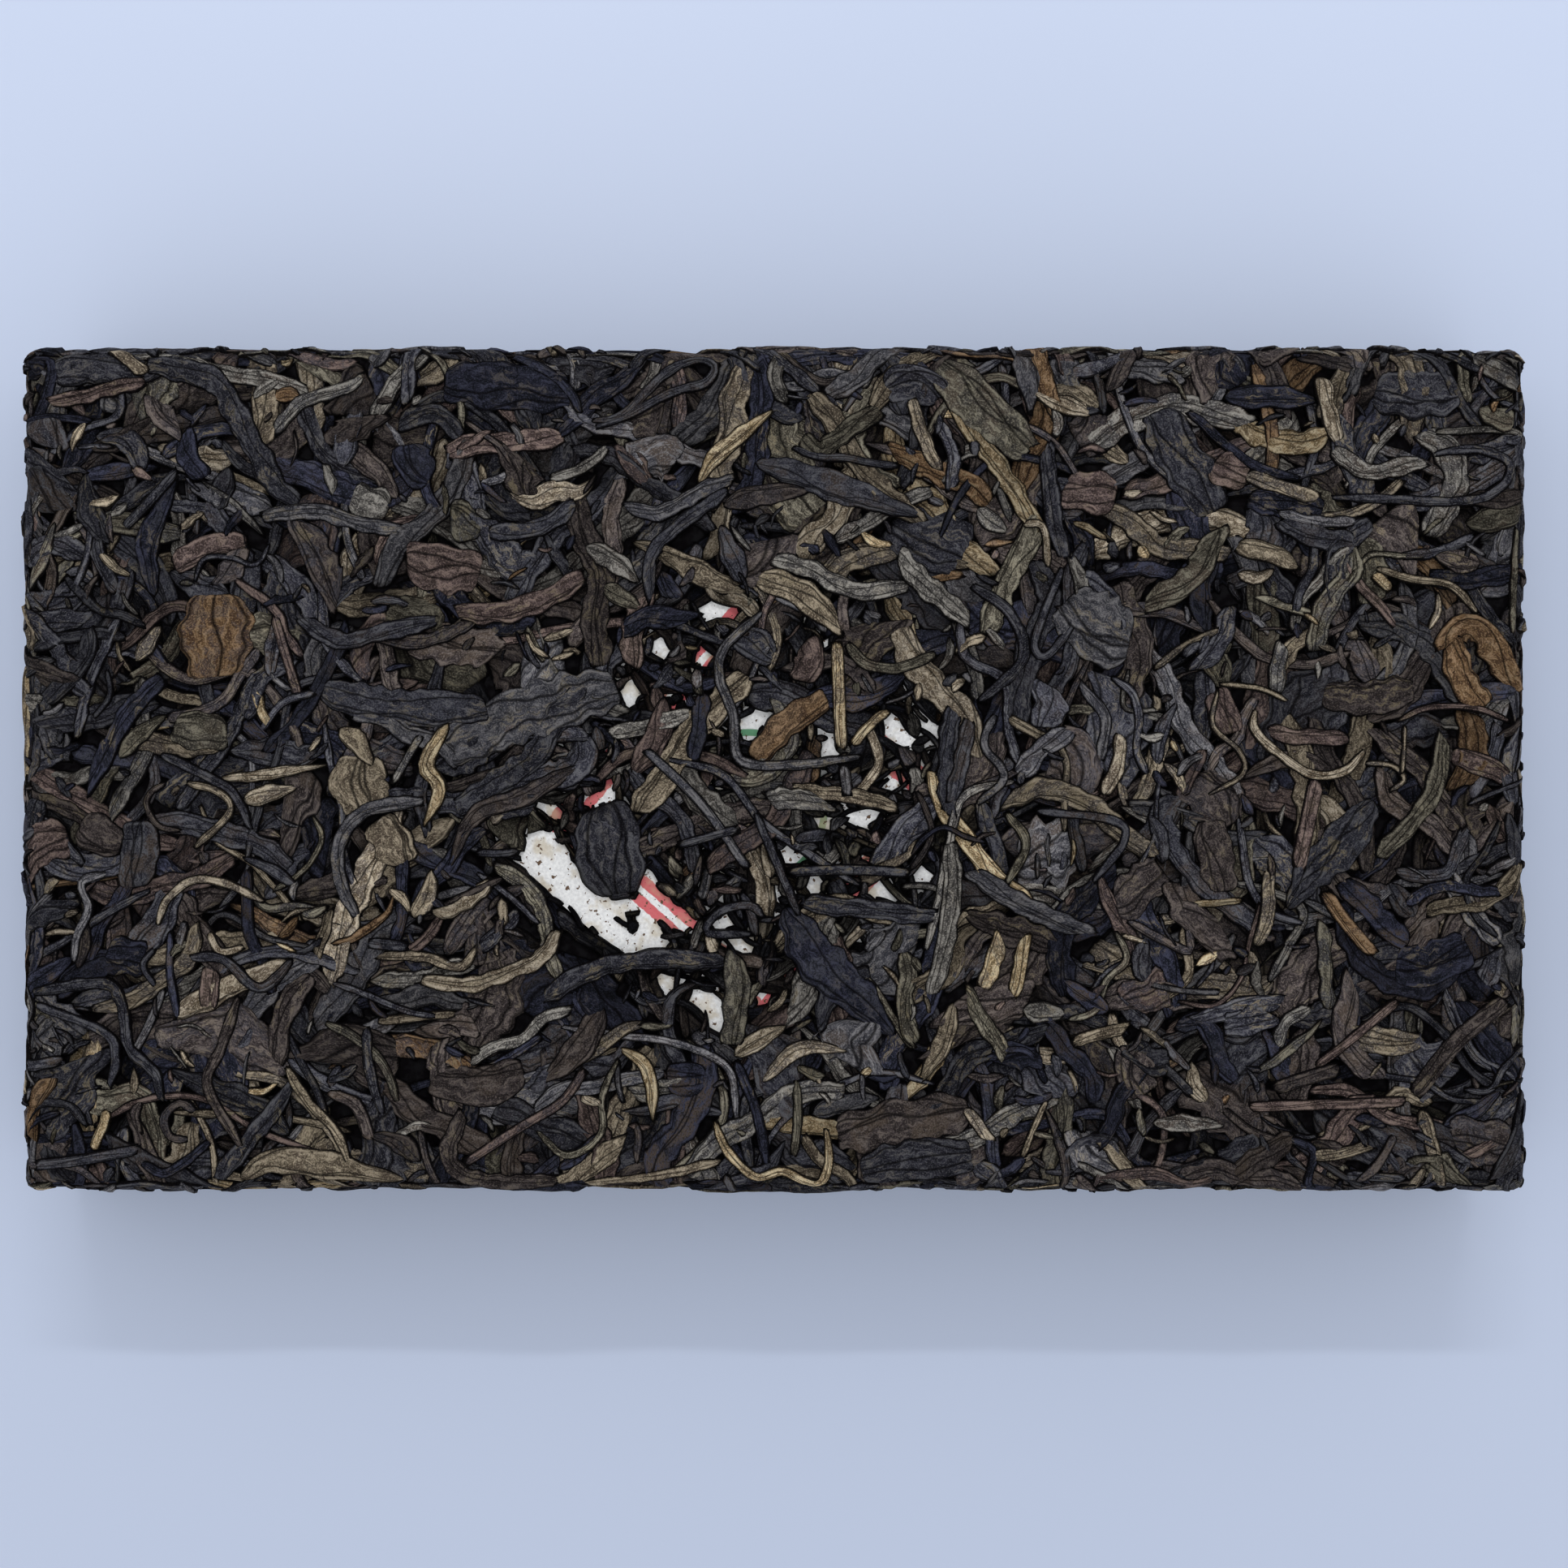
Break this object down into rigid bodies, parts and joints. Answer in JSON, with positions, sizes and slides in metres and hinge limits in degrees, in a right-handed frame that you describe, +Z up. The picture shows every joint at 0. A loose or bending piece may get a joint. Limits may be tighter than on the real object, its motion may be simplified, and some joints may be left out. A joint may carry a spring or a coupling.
{
  "type": "tea brick",
  "caption": "Rectangular pressed pu erh tea brick of dark twisted leaves and stems, with a square paper ticket pressed in just under its top leaves.",
  "frame": {"origin": "middle of the underside, on the surface that the brick rests on", "axes": "+X along the long side, to the right in the picture; +Y across it, up in the picture; +Z up, out of the face with the ticket"},
  "size_m": [0.15, 0.0844, 0.022],
  "materials": {
    "tea_leaves": "dry dark leaves from blue-black to olive and tan, with a dull sheen on their ridges",
    "ticket_paper": "matte soft white paper with a plain red and green print, stained a little by the leaves"
  },
  "bodies": {
    "root": {"brick": "tea_leaves", "inner_ticket": "ticket_paper"}
  },
  "joints": []
}
